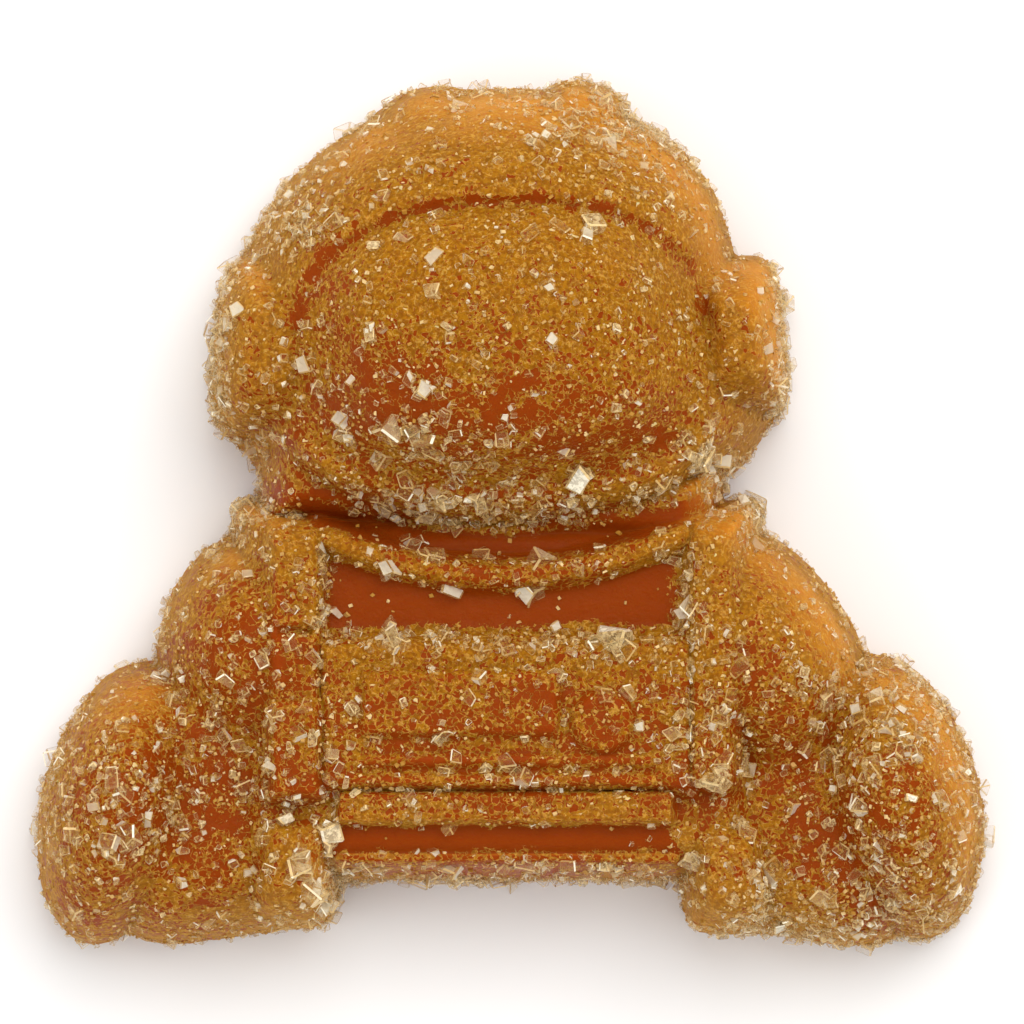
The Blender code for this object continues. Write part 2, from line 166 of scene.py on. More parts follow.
# Where the crust is thinner and the dark jelly shows: centre x and y, half width, half length, share of
# the crust that is gone.
BARE_PATCHES = [
    (-4.6, 3.9, 2.5, 1.7, 0.8),
    (-3.6, 2.8, 3.0, 1.4, 0.55),
    (0.8, 2.8, 4.4, 1.6, 0.7),
    (4.6, 2.5, 2.2, 1.2, 0.6),
    (-6.2, 7.6, 1.0, 2.6, 0.45),
    (0.0, 5.2, 5.6, 2.4, 0.36),
    (-0.8, 0.5, 5.4, 1.1, 0.4),
    (-5.2, 0.3, 2.4, 0.8, 0.8),
    (2.8, -0.1, 1.9, 0.6, 0.65),
    (-7.6, 1.6, 1.6, 1.6, 0.45),
    (-0.4, -2.1, 6.6, 1.2, 0.42),
    (-0.3, -6.7, 6.4, 2.4, 0.56),
    (0.2, -8.8, 6.2, 1.7, 0.55),
    (-4.4, -7.6, 1.6, 1.6, 0.4),
    (3.4, -6.7, 1.8, 1.2, 0.4),
    (-7.4, -5.6, 1.4, 2.0, 0.6),
    (-7.0, -9.2, 1.7, 1.3, 0.75),
    (6.1, -9.4, 1.1, 1.0, 0.75),
    (7.9, -5.8, 0.5, 1.2, 0.6),
    (0.0, -11.9, 6.5, 0.65, 0.85),
    (0.0, -3.0, 6.0, 0.9, 0.3),
    (-9.2, -4.6, 2.2, 2.2, 0.55),
    (-9.9, -9.2, 2.0, 4.6, 0.74),
    (-13.0, -10.0, 2.6, 4.2, 0.66),
    (-12.7, -9.9, 1.2, 0.8, 0.3),
    (-14.3, -12.9, 0.9, 0.9, 0.5),
    (10.2, -11.0, 1.9, 1.7, 0.75),
    (11.9, -12.9, 1.2, 1.2, 0.7),
    (12.6, -10.4, 2.4, 3.4, 0.62),
    (8.9, -7.9, 2.4, 2.6, 0.6),
    (8.2, -4.2, 1.8, 2.6, 0.3),
]


def turned(x, y, cx, cy, degrees):
    """Plan coordinates moved to a part's centre and turned back by its angle."""
    a = np.radians(degrees)
    dx, dy = x - cx, y - cy
    return dx * np.cos(a) + dy * np.sin(a), dy * np.cos(a) - dx * np.sin(a)


def box_gap(x, y, cx, cy, half_x, half_y, corner, degrees=0.0):
    """Distance outside a round-cornered box: the length by which a point passes the box
    shrunk by its corner radius, less that radius."""
    u, v = turned(x, y, cx, cy, degrees)
    qx = np.abs(u) - half_x + corner
    qy = np.abs(v) - half_y + corner
    outside = np.hypot(np.maximum(qx, 0), np.maximum(qy, 0))
    return outside + np.minimum(np.maximum(qx, qy), 0) - corner


def oval_reach(x, y, cx, cy, half_x, half_y, degrees=0.0, power=2.0):
    """Superellipse reach: the powers of the two scaled coordinates summed, then rooted. It is
    1 on the rim and less inside."""
    u, v = turned(x, y, cx, cy, degrees)
    return (np.abs(u / half_x) ** power + np.abs(v / half_y) ** power) ** (1 / power)


def oval_gap(x, y, cx, cy, half_x, half_y, degrees=0.0, power=2.0):
    """Distance outside a superellipse: its reach less 1, times the shorter half width."""
    reach = oval_reach(x, y, cx, cy, half_x, half_y, degrees, power)
    return (reach - 1) * min(half_x, half_y)


def soft_min(a, b, blend=0.3):
    """The smaller of two values, less a parabola where they come within the blend."""
    share = np.clip(0.5 + 0.5 * (b - a) / blend, 0, 1)
    return b + (a - b) * share - blend * share * (1 - share)


def soft_max(a, b, blend=0.35):
    """The larger of two values, rounded in the same way."""
    return -soft_min(-a, -b, blend)


def eased(t):
    """Three t squared less two t cubed, held at 0 below 0 and at 1 above 1."""
    t = np.clip(t, 0, 1)
    return t * t * (3 - 2 * t)


def rounded(inset, edge, power=2.2):
    """The rise of a cast edge: a quarter superellipse from 0 at the foot to 1 at the edge's
    width."""
    t = np.clip(inset / edge, 0, 1)
    return (1 - (1 - t) ** power) ** (1 / power)


def step_up(gap, step):
    """A raised patch: the step's height times the eased distance inside the gap's zero line,
    over the step's width."""
    height, width = step
    return height * eased(-gap / width)


def helmet_gap(x, y, blend=0.3):
    """The soft minimum of the distances outside the dome's oval and the wider jaw's."""
    return soft_min(oval_gap(x, y, *DOME), oval_gap(x, y, *JAW), blend)


def outline(x, y):
    """Distance outside the foot: the soft minimum of every part's own distance."""
    gap = soft_min(helmet_gap(x, y), box_gap(x, y, *NECK))
    gap = soft_min(gap, box_gap(x, y, *TORSO))
    for *plan, _, _ in LIMBS:
        gap = soft_min(gap, oval_gap(x, y, *plan))
    return gap + TRIM


def past_arc(x, y, arc):
    """Distance outside a circle: the distance from its centre less its radius."""
    cx, cy, radius = arc
    return np.hypot(x - cx, y - cy) - radius


def visor_inset(x, y):
    """How far inside the window's rim a point lies: 1 less its reach, times the half length."""
    return (1 - oval_reach(x, y, *VISOR)) * VISOR[3]


def visor_relief(x, y):
    """A groove round the window's top, the glass bulging inside it as 1 less the reach squared,
    and a bell-shaped lip below it."""
    inset = visor_inset(x, y)
    top = eased((y - VISOR_TOP) / VISOR_TOP_LENGTH)
    groove = step_up(VISOR_GROOVE_INSET - inset, VISOR_GROOVE)
    pane = step_up(VISOR_PANE_INSET - inset, VISOR_PANE)
    tall, foot_width = VISOR_BULGE
    bulge = tall * (1 - (1 - inset / VISOR[3]) ** 2) * eased(inset / foot_width)
    tall, away, half_width = VISOR_LIP
    lip = tall * np.exp(-(((inset + away) / half_width) ** 2))
    return top * (pane - groove) + bulge + lip * eased((LIP_TOP - y) / LIP_TOP_LENGTH)


def helmet_rise(x, y):
    """The shell's rounded rise with the window's relief, ended under the chin by a wide arc."""
    shell_gap = soft_min(helmet_gap(x, y, 1.0), box_gap(x, y, *THROAT), 1.0)
    shell = HELMET_RISE * rounded(-TRIM - shell_gap, HELMET_EDGE)
    shell = shell * (1 - CHIN_FALL * eased((CHIN_FALL_FROM - y) / CHIN_FALL_LENGTH))
    chin = rounded(-past_arc(x, y, CHIN_EDGE), CHIN_EDGE_WIDTH)
    return (shell + visor_relief(x, y) * eased((shell - RELIEF_FROM) / RELIEF_LENGTH)) * chin


def chest_relief(x, y):
    """Eased steps for the chest pack, its window and dial, sine ribs below them, a ledge and
    the hem."""
    pack = step_up(box_gap(x, y, *CHEST_PACK), PACK_STEP)
    window = step_up(box_gap(x, y, *PACK_WINDOW), WINDOW_STEP)
    dial = step_up(past_arc(x, y, PACK_DIAL), DIAL_STEP)
    ribs = np.sin(2 * np.pi * y / RIB_PITCH) * step_up(box_gap(x, y, *PACK_RIBS), RIB_STEP)
    ledge = step_up(box_gap(x, y, *PACK_LEDGE), LEDGE_STEP)
    middle, top, half_width = HEM
    hem = step_up(y - top, HEM_STEP) * eased((half_width - np.abs(x - middle)) / HEM_STEP[1])
    return np.maximum(pack + window + dial + ribs, np.maximum(ledge, hem))


def torso_rise(x, y):
    """Eased steps for the throat's groove, the collar on its arc, the straps and the pack, all
    times the torso's rounded edge."""
    throat = step_up(np.abs(past_arc(x, y, THROAT_GROOVE)) - THROAT_HALF_WIDTH, THROAT_STEP)
    collar = step_up(np.abs(past_arc(x, y, COLLAR_RING)) - COLLAR_HALF_WIDTH, COLLAR_STEP)
    collar = collar * eased((COLLAR_REACH - np.abs(x - COLLAR_RING[0])) / COLLAR_STEP[1])
    straps = soft_min(box_gap(x, y, *LEFT_STRAP), box_gap(x, y, *RIGHT_STRAP))
    straps = step_up(straps, STRAP_STEP) + step_up(box_gap(x, y, *STRAP_POUCH), POUCH_STEP)
    straps = straps - step_up(box_gap(x, y, *STRAP_SLOT), SLOT_STEP)
    raised = np.maximum(np.maximum(collar, straps), chest_relief(x, y))
    clear = np.clip(1 - raised / THROAT_CLEAR, 0, 1)
    return (TORSO_RISE + raised - throat * clear) * rounded(-TRIM - box_gap(x, y, *TORSO), TORSO_EDGE)


def rise(x, y):
    """The height over the back: the soft maximum of torso, helmet, neck and every limb."""
    top = soft_max(torso_rise(x, y), helmet_rise(x, y), BLEND)
    top = soft_max(top, NECK_RISE * rounded(-TRIM - box_gap(x, y, *NECK), TORSO_EDGE), BLEND)
    for *plan, tall, edge in LIMBS:
        top = soft_max(top, tall * rounded(-TRIM - oval_gap(x, y, *plan), edge), LIMB_BLEND)
    return soft_max(top, FLOOR_RISE * rounded(-outline(x, y), FLOOR_REACH), BLEND)


def at_inset(x, y, inset, step=0.01):
    """Plan points moved along the outline's slope until they lie this far inside the foot."""
    for _ in range(4):
        slope_x = (outline(x + step, y) - outline(x - step, y)) / (2 * step)
        slope_y = (outline(x, y + step) - outline(x, y - step)) / (2 * step)
        move = (outline(x, y) + inset) / np.maximum(slope_x**2 + slope_y**2, 0.1)
        x, y = x - slope_x * move, y - slope_y * move
    return x, y


def lone_edges(quads):
    """The directed edges that only one face uses, as pairs of point numbers."""
    ends = np.concatenate([quads[:, [k, (k + 1) % 4]] for k in range(4)])
    forward = ends[:, 0] * (quads.max() + 1) + ends[:, 1]
    backward = ends[:, 1] * (quads.max() + 1) + ends[:, 0]
    return ends[~np.isin(forward, backward)]


def plan_cells(x, y):
    """The cells of the plan's grid that lie inside the wall, without pinched corners."""
    rows, columns = x.shape
    number = np.arange(rows * columns).reshape(rows, columns)
    corners = [number[:-1, :-1], number[:-1, 1:], number[1:, 1:], number[1:, :-1]]
    cells = np.stack(corners, axis=-1).reshape(-1, 4)
    deep = (-outline(x, y) > WALL_REACH + 0.6 * SKIN_GRID).ravel()
    cells = cells[deep[cells].all(axis=1)]
    while True:
        starts, uses = np.unique(lone_edges(cells)[:, 0], return_counts=True)
        pinched = starts[uses > 1]
        if not len(pinched):
            return cells
        cells = cells[~np.isin(cells, pinched).any(axis=1)]


def lattice_key(corner):
    """A scrambled number for each lattice corner: its three indices times large primes, joined
    by exclusive or."""
    i, j, k = np.moveaxis(corner * np.array([73856093, 19349663, 83492791]), -1, 0)
    return (i ^ j ^ k) % 65536


def swell(points, size, seed):
    """Smooth noise between -1 and 1: random values on a cubic lattice of this size, blended
    between the eight corners with eased weights."""
    table = np.random.default_rng(seed).uniform(-1, 1, 65536)
    base = np.floor(points / size).astype(np.int64)
    share = eased(points / size - base)
    total = np.zeros(len(points))
    for corner in np.ndindex(2, 2, 2):
        weight = np.where(corner, share, 1 - share).prod(axis=1)
        total += table[lattice_key(base + corner)] * weight
    return total


def grains(points, size, seed):
    """Close-set round grains: one random point in each cell of a cubic lattice, and 1 less the
    squared distance to the nearest, in cells, held at 0."""
    table = np.random.default_rng(seed).random((65536, 3))
    base = np.floor(points / size).astype(np.int64)
    nearest = np.full(len(points), 9.0)
    for offset in np.ndindex(3, 3, 3):
        corner = base + offset - 1
        gap = points / size - corner - table[lattice_key(corner)]
        nearest = np.minimum(nearest, (gap**2).sum(axis=1))
    return np.clip(1 - nearest, 0, 1)


# Grooves the sugar never reached, and a band under the collar left bare as a painted shadow of the
# collar: half width and soft edge of each, in millimetres. The groove under the chin loses a share of its
# depth from some way out, the collar's band and the belt below it end at the straps, and the window's
# line is a share of a groove that starts at some height.
CHIN_GROOVE = (0.6, 0.35)
CHIN_GROOVE_SIDES = (5.8, 1.2, 0.6)
GROOVE_AND_SHADOW_ENDS = (6.2, 0.8)
COLLAR_SHADOW_TOP = (0.4, 0.3)
COLLAR_SHADOW_FOOT = (-3.95, 0.3)
BELT_GROOVE = (0.6, 0.3)
WINDOW_LINE = (0.36, 0.3, 0.05, 0.72)
WINDOW_LINE_FROM = (5.0, 2.0)

# The crust's full share, how far and how finely noise frays the grooves' edges, and the
# amount and size of its drift from place to place.
FULL_CRUST = 0.92
FRAY = (0.16, 0.4)
CRUST_DRIFT = (0.13, 1.6)


def groove_and_shadow_share(x, y):
    """1 in the places the sugar never reached: the groove under the chin on its arc, the belt, and the
    line round the top of the window; and 1 in the bare band under the collar's arc, which is painted dark
    as the collar's shadow."""
    half_width, edge = CHIN_GROOVE
    chin = eased((half_width - np.abs(past_arc(x, y, THROAT_GROOVE))) / edge)
    reach, edge, lost = CHIN_GROOVE_SIDES
    chin = chin * (1 - lost * eased((np.abs(x - THROAT_GROOVE[0]) - reach) / edge))
    across = eased((GROOVE_AND_SHADOW_ENDS[0] - np.abs(x - COLLAR_RING[0])) / GROOVE_AND_SHADOW_ENDS[1])
    # Painted shadow: below the collar the crust is left off, so dark bare jelly stands where the collar's
    # shade falls.
    collar_shadow = eased((past_arc(x, y, COLLAR_RING) - COLLAR_SHADOW_TOP[0]) / COLLAR_SHADOW_TOP[1])
    collar_shadow = collar_shadow * eased((y - COLLAR_SHADOW_FOOT[0]) / COLLAR_SHADOW_FOOT[1])
    belt = eased((BELT_GROOVE[0] - np.abs(y - BELT_LINE)) / BELT_GROOVE[1])
    half_width, edge, inset, share = WINDOW_LINE
    window = share * eased((half_width - np.abs(visor_inset(x, y) - inset)) / edge)
    window = window * eased((y - WINDOW_LINE_FROM[0]) / WINDOW_LINE_FROM[1])
    return np.maximum(np.maximum(chin, window), across * np.maximum(collar_shadow, belt))


def crust_share(x, y, points):
    """How much of the skin is crust: 1 less the grooves and the painted collar shadow, their edges made
    ragged by noise added to the plan, and the bare patches, whose bell shapes multiply, with a little
    drift."""
    ragged_x = x + FRAY[0] * swell(points, FRAY[1], 7)
    ragged_y = y + FRAY[0] * swell(points, FRAY[1], 8)
    share = FULL_CRUST * (1 - groove_and_shadow_share(ragged_x, ragged_y))
    for cx, cy, half_x, half_y, gone in BARE_PATCHES:
        share = share * (1 - gone * np.exp(-(((x - cx) / half_x) ** 2 + ((y - cy) / half_y) ** 2)))
    return np.clip(share + CRUST_DRIFT[0] * swell(points, CRUST_DRIFT[1], 5) * (share > 0.3), 0, 1)


def skin():
    """The relief over a square grid, with rings of wall down to the table. Returns the points,
    the quads and the foot's own order."""
    columns = np.arange(-PLAN_HALF_WIDTH, PLAN_HALF_WIDTH, SKIN_GRID)
    rows = np.arange(-PLAN_HALF_LENGTH, PLAN_HALF_LENGTH, SKIN_GRID)
    x, y = np.meshgrid(columns, rows)
    cells = plan_cells(x, y)
    edges = lone_edges(cells)
    used, cells = np.unique(cells, return_inverse=True)
    cells = cells.reshape(-1, 4)
    edges = np.searchsorted(used, edges)
    x, y = x.ravel()[used], y.ravel()[used]
    points = [np.stack([x, y, rise(x, y)], axis=1)]
    rim = edges[:, 0]
    order = np.argsort(rim)
    after = order[np.searchsorted(rim[order], edges[:, 1])]
    before = np.argsort(after)
    ring_x, ring_y, ring = x[rim], y[rim], rim
    faces = [cells]
    count = len(x)
    for inset, lift in WALL_RINGS:
        for _ in range(3):
            ring_x = (ring_x[before] + 2 * ring_x + ring_x[after]) / 4
            ring_y = (ring_y[before] + 2 * ring_y + ring_y[after]) / 4
            ring_x, ring_y = at_inset(ring_x, ring_y, inset * WALL_REACH)
        ring_z = lift * np.maximum(rise(ring_x, ring_y), 0.5)
        points.append(np.stack([ring_x, ring_y, ring_z], axis=1))
        below = count + np.arange(len(rim))
        faces.append(np.stack([ring, below, below[after], ring[after]], axis=1))
        ring, count = below, count + len(rim)
    return np.concatenate(points), np.concatenate(faces), ring


def point_normals(points, quads):
    """Each quad's normal is the cross product of its diagonals. A point's normal is the sum of
    its quads' normals, scaled to length 1."""
    a, b, c, d = points[quads].transpose(1, 0, 2)
    cross = np.cross(c - a, d - b)
    total = np.zeros_like(points)
    for k in range(4):
        for axis in range(3):
            total[:, axis] += np.bincount(quads[:, k], cross[:, axis], len(points))
    return total / np.maximum(np.linalg.norm(total, axis=1), 1e-9)[:, None]


def rim_distance(plan, ring):
    """Distance in the plan from each point to the nearest point of the foot's ring, worked out
    in sixty batches."""
    batches = np.array_split(plan, 60)
    return np.concatenate([
        np.sqrt(((batch[:, None] - ring[None]) ** 2).sum(axis=2).min(axis=1)) for batch in batches
    ])


plain_points, skin_quads, foot_ring = skin()
plain_normals = point_normals(plain_points, skin_quads)
skin_crust = crust_share(plain_points[:, 0], plain_points[:, 1], plain_points)
depth = rim_distance(plain_points[:, :2], plain_points[foot_ring, :2])
off_table = eased(plain_points[:, 2] / FOOT_FADE)
roughened = COARSE_GRAINS[1] * grains(plain_points, COARSE_GRAINS[0], 1)
roughened = roughened + FINE_GRAINS[1] * grains(plain_points, FINE_GRAINS[0], 2)
roughened += SLOW_SWELL[1] * swell(plain_points, SLOW_SWELL[0], 3) - SLOW_SWELL[2]
kept = BARE_ROUGHNESS + (1 - BARE_ROUGHNESS) * skin_crust
skin_points = plain_points + plain_normals * (kept * roughened * off_table)[:, None]
skin_normals = point_normals(skin_points, skin_quads)

# The plan is measured from the middle of the whole sweet's box, sugar and all, so it is moved
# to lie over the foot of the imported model.
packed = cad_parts["gummy_astronaut"].data.vertices
foot = np.array([point.co[:2] for point in packed if point.co.z < FOOT_SAMPLE_HEIGHT * MM])
foot_middle = (foot.min(axis=0) + foot.max(axis=0)) / 2 / MM
ring_plan = plain_points[foot_ring, :2]
plan_shift = np.append(foot_middle - (ring_plan.min(axis=0) + ring_plan.max(axis=0)) / 2, 0)


def add_mesh(name, points, faces):
    """A mesh object at the origin from points in millimetres of the plan and a list of faces."""
    mesh = bpy.data.meshes.new(name)
    mesh.from_pydata((points + plan_shift) * MM, [], faces)
    piece = bpy.data.objects.new(name, mesh)
    bpy.context.scene.collection.objects.link(piece)
    return piece


def add_values(piece, name, values, domain="POINT"):
    """One number for each point or face, which the material reads by this name."""
    layer = piece.data.attributes.new(name, "FLOAT", domain)
    layer.data.foreach_set("value", np.asarray(values, np.float32))


def closed_below(piece):
    """Fills the foot's ring with the flat back and turns every face outwards."""
    solid = bmesh.new()
    solid.from_mesh(piece.data)
    bmesh.ops.holes_fill(solid, edges=[e for e in solid.edges if e.is_boundary], sides=0)
    bmesh.ops.recalc_face_normals(solid, faces=solid.faces)
    solid.to_mesh(piece.data)
    solid.free()


# Painted glow: thin jelly is coloured lighter and more orange where it faces the lamp, standing in for
# the lamp's light passing through it: how the glow turns with the normal's x and y, the depth it fades
# over, its share near the table and the heights between which it grows. Near the outline the crust is
# painted paler, as light through the thin edge, and that pale rim fades over a depth of its own.
LIGHT_SIDE = (0.3, 0.45)
GLOW_DEPTH = 2.2
LOW_GLOW = 0.3
GLOW_HEIGHTS = (2.5, 6.0)
RIM_DEPTH = 1.3

jelly = add_mesh("jelly", skin_points, skin_quads.tolist())
add_values(jelly, "crust", skin_crust)
facing_light = eased(0.5 + plain_normals[:, :2] @ np.array(LIGHT_SIDE))
height_share = (plain_points[:, 2] - GLOW_HEIGHTS[0]) / (GLOW_HEIGHTS[1] - GLOW_HEIGHTS[0])
facing_light = facing_light * (LOW_GLOW + (1 - LOW_GLOW) * eased(height_share))
# The rim is painted light: the crust is made paler near the outline, as light through the thin edge.
add_values(jelly, "rim", np.exp(-depth / RIM_DEPTH))
add_values(jelly, "glow", facing_light * np.exp(-depth / GLOW_DEPTH))
closed_below(jelly)
jelly.data.shade_smooth()


def link(tree, source, target):
    tree.links.new(source, target)


def number_node(tree, operation, first, second=None, clamp=False):
    """A Math node. Each input is a number or another node's output."""
    node = tree.nodes.new("ShaderNodeMath")
    node.operation = operation
    node.use_clamp = clamp
    for socket, value in zip(node.inputs, (first, second)):
        if hasattr(value, "links"):
            link(tree, value, socket)
        elif value is not None:
            socket.default_value = value
    return node.outputs[0]


def scaled(tree, value, factor, offset):
    """The value times the factor, plus the offset."""
    result = number_node(tree, "MULTIPLY_ADD", value, factor)
    result.node.inputs[2].default_value = offset
    return result


def between(tree, value, low, high):
    """0 where the value is below the low bound, 1 above the high one, smooth between."""
    node = tree.nodes.new("ShaderNodeMapRange")
    node.interpolation_type = "SMOOTHSTEP"
    link(tree, value, node.inputs["Value"])
    node.inputs["From Min"].default_value = low
    node.inputs["From Max"].default_value = high
    return node.outputs["Result"]


def mixed(tree, share, first, second):
    """A blend of two colours, each a triple or another node's output."""
    node = tree.nodes.new("ShaderNodeMix")
    node.data_type = "RGBA"
    if hasattr(share, "links"):
        link(tree, share, node.inputs["Factor"])
    else:
        node.inputs["Factor"].default_value = share
    for socket, value in ((node.inputs[6], first), (node.inputs[7], second)):
        if hasattr(value, "links"):
            link(tree, value, socket)
        else:
            socket.default_value = (*value, 1.0)
    return node.outputs[2]


def noise_node(tree, where, size, detail=2.0, roughness=0.5):
    """Fractal noise whose largest features are about this many millimetres across."""
    node = tree.nodes.new("ShaderNodeTexNoise")
    link(tree, where, node.inputs["Vector"])
    node.inputs["Scale"].default_value = 1 / (size * MM)
    node.inputs["Detail"].default_value = detail
    node.inputs["Roughness"].default_value = roughness
    return node.outputs["Fac"]


def cell_node(tree, where, size, feature="F1"):
    """A cell pattern with cells about this many millimetres across."""
    node = tree.nodes.new("ShaderNodeTexVoronoi")
    node.feature = feature
    link(tree, where, node.inputs["Vector"])
    node.inputs["Scale"].default_value = 1 / (size * MM)
    return node


def nudged(tree, where, size, shift):
    """The place moved about by up to this shift, by a noise's colour less one half."""
    noise = tree.nodes.new("ShaderNodeTexNoise")
    link(tree, where, noise.inputs["Vector"])
    noise.inputs["Scale"].default_value = 1 / (size * MM)
    noise.inputs["Detail"].default_value = 1.0
    move = tree.nodes.new("ShaderNodeVectorMath")
    move.operation = "MULTIPLY_ADD"
    link(tree, noise.outputs["Color"], move.inputs[0])
    move.inputs[1].default_value = (2 * shift * MM,) * 3
    link(tree, where, move.inputs[2])
    return move.outputs[0]


# The crust's patterns, in millimetres: cells of the net, the noise that bends them and by how
# much, patches of thick and thin crust, curls, and mottle.
NET_CELL = 0.27
NET_BEND = (0.22, 0.2)
PATCH_SIZE = 0.9
CURL_SIZE = 0.3
MOTTLE_SIZE = 0.16

# How far a border reaches into its cell, in cells: by the crust, from bare jelly, by the patch
# and by the cell.
REACH_BY_CRUST = 0.5
REACH_WHEN_BARE = -0.6
REACH_BY_PATCH = 0.8
REACH_BY_CELL = 0.2


def crust_group():
    """Shader group for half-melted sugar, which dries as a net of closed rings. The net is the borders of
    a cell pattern, bent by noise. A border is wider where there is more crust, by patch and by cell,
    until the hole in the cell's middle closes. The rim of each hole is paler, partly pale sugar and
    partly a painted highlight, and so are curls across the crust, where a finer noise is near one half. A
    few cells hold a pale splinter."""
    group = bpy.data.node_groups.new("melted_sugar_crust", "ShaderNodeTree")
    group.interface.new_socket("Crust", in_out="INPUT", socket_type="NodeSocketFloat")
    for name in ("Cover", "Rings", "Mottle", "Flecks", "Height"):
        group.interface.new_socket(name, in_out="OUTPUT", socket_type="NodeSocketFloat")
    into = group.nodes.new("NodeGroupInput")
    out = group.nodes.new("NodeGroupOutput")
    crust = into.outputs["Crust"]
    where = group.nodes.new("ShaderNodeTexCoord").outputs["Object"]
    bent = nudged(group, where, *NET_BEND)
    border = cell_node(group, bent, NET_CELL, "DISTANCE_TO_EDGE").outputs["Distance"]
    cells = cell_node(group, bent, NET_CELL)
    pick = group.nodes.new("ShaderNodeSeparateColor")
    link(group, cells.outputs["Color"], pick.inputs[0])
    patch = number_node(group, "MULTIPLY", noise_node(group, where, PATCH_SIZE, 3.0, 0.7), REACH_BY_PATCH)
    by_cell = number_node(group, "MULTIPLY", pick.outputs[0], REACH_BY_CELL)
    reach = number_node(group, "ADD", scaled(group, crust, REACH_BY_CRUST, REACH_WHEN_BARE), patch)
    reach = number_node(group, "ADD", reach, by_cell)
    cover = between(group, number_node(group, "SUBTRACT", reach, border), -0.04, 0.06)
    cover = number_node(group, "MULTIPLY", cover, between(group, crust, 0.02, 0.12))
    rings = number_node(group, "MULTIPLY", cover, number_node(group, "SUBTRACT", 1.0, cover))
    rings = number_node(group, "MULTIPLY", rings, 4.0)
    swirl = number_node(group, "SUBTRACT", noise_node(group, bent, CURL_SIZE, 1.0), 0.5)
    curls = between(group, number_node(group, "ABSOLUTE", swirl), 0.05, 0.015)
    curls = number_node(group, "MULTIPLY", number_node(group, "MULTIPLY", curls, cover), 0.6)
    rings = number_node(group, "MAXIMUM", rings, curls)
    mottle = between(group, noise_node(group, where, MOTTLE_SIZE, 2.0, 0.6), 0.35, 0.65)
    middle = between(group, cells.outputs["Distance"], 0.32, 0.18)
    flecks = number_node(group, "GREATER_THAN", pick.outputs[1], 0.88)
    flecks = number_node(group, "MULTIPLY", flecks, middle)
    flecks = number_node(group, "MULTIPLY", flecks, between(group, crust, 0.02, 0.3))
    height = number_node(group, "ADD", number_node(group, "MULTIPLY", rings, 0.5), cover)
    height = number_node(group, "ADD", height, number_node(group, "MULTIPLY", mottle, 0.3))
    height = number_node(group, "ADD", height, flecks)
    for name, value in (
        ("Cover", cover), ("Rings", rings), ("Mottle", mottle), ("Flecks", flecks), ("Height", height)
    ):
        link(group, value, out.inputs[name])
    return group


JELLY_DEEP = (0.265, 0.041, 0.002)
# The thin jelly's orange is a painted glow: light passing through the jelly where it faces the lamp.
JELLY_PAINTED_GLOW = (0.66, 0.22, 0.014)
CRUST_DARK = (0.25, 0.082, 0.003)
CRUST_GOLD = (0.38, 0.155, 0.006)
# The net's pale line colour is partly pale sugar and partly a painted highlight on the rings and curls.
CRUST_LINE_AND_HIGHLIGHT = (0.64, 0.36, 0.075)
CRUST_PALE = (0.58, 0.31, 0.07)
SPLINTER = (0.72, 0.52, 0.24)


def attribute(tree, name):
    """The values stored on the mesh by this name."""
    node = tree.nodes.new("ShaderNodeAttribute")
    node.attribute_name = name
    return node.outputs["Fac"]


def add_bump(tree, height, strength, distance):
    """Small relief from a height, this many millimetres high, on the main shader's normal."""
    bump = tree.nodes.new("ShaderNodeBump")
    bump.inputs["Strength"].default_value = strength
    bump.inputs["Distance"].default_value = distance * MM
    link(tree, height, bump.inputs["Height"])
    link(tree, bump.outputs["Normal"], tree.nodes["Principled BSDF"].inputs["Normal"])


def jelly_material():
    """Red-brown jelly with a painted glow, lighter orange where it is thin and faces the lamp, under gold
    crust whose paler lines carry a painted highlight.
    """
    material = bpy.data.materials.new("sugared_jelly")
    material.use_nodes = True
    tree = material.node_tree
    shader = tree.nodes["Principled BSDF"]
    crust = tree.nodes.new("ShaderNodeGroup")
    crust.node_tree = crust_group()
    rim = attribute(tree, "rim")
    link(tree, attribute(tree, "crust"), crust.inputs["Crust"])
    place = tree.nodes.new("ShaderNodeTexCoord")
    drift = noise_node(tree, place.outputs["Object"], 3.0, 2.0)
    # Painted glow: the jelly and its crust turn a lighter orange where the glow, with a little random
    # drift, is high.
    thin = number_node(tree, "ADD", attribute(tree, "glow"), number_node(tree, "MULTIPLY", drift, 0.3))
    thin = between(tree, thin, 0.45, 1.1)
    bare = mixed(tree, thin, JELLY_DEEP, JELLY_PAINTED_GLOW)
    gold = mixed(tree, crust.outputs["Mottle"], CRUST_DARK, CRUST_GOLD)
    gold = mixed(tree, number_node(tree, "MULTIPLY", thin, 0.85), gold, JELLY_PAINTED_GLOW)
    # Painted light: the crust is paler near the outline, as light through the thin edge.
    pale = mixed(tree, number_node(tree, "MULTIPLY", rim, 0.2), gold, CRUST_PALE)
    covered = mixed(tree, crust.outputs["Cover"], bare, pale)
    # Painted highlight: the rings and curls are paler in patches where the mottle is high, partly pale
    # sugar.
    ring_highlight = scaled(tree, crust.outputs["Mottle"], 0.7, 0.2)
    ring_highlight = number_node(tree, "MULTIPLY", crust.outputs["Rings"], ring_highlight)
    ringed = mixed(tree, ring_highlight, covered, CRUST_LINE_AND_HIGHLIGHT)
    link(tree, mixed(tree, crust.outputs["Flecks"], ringed, SPLINTER), shader.inputs["Base Color"])
    link(tree, scaled(tree, crust.outputs["Cover"], 0.2, 0.35), shader.inputs["Roughness"])
    add_bump(tree, crust.outputs["Height"], 0.7, 0.05)
    shader.inputs["Specular IOR Level"].default_value = 0.03
    shader.inputs["Subsurface Weight"].default_value = 0.5
    shader.inputs["Subsurface Radius"].default_value = (1.0, 0.4, 0.1)
    shader.inputs["Subsurface Scale"].default_value = 1.2 * MM
    return material


jelly.data.materials.append(jelly_material())
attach(jelly, "root")
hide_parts("gummy_astronaut")
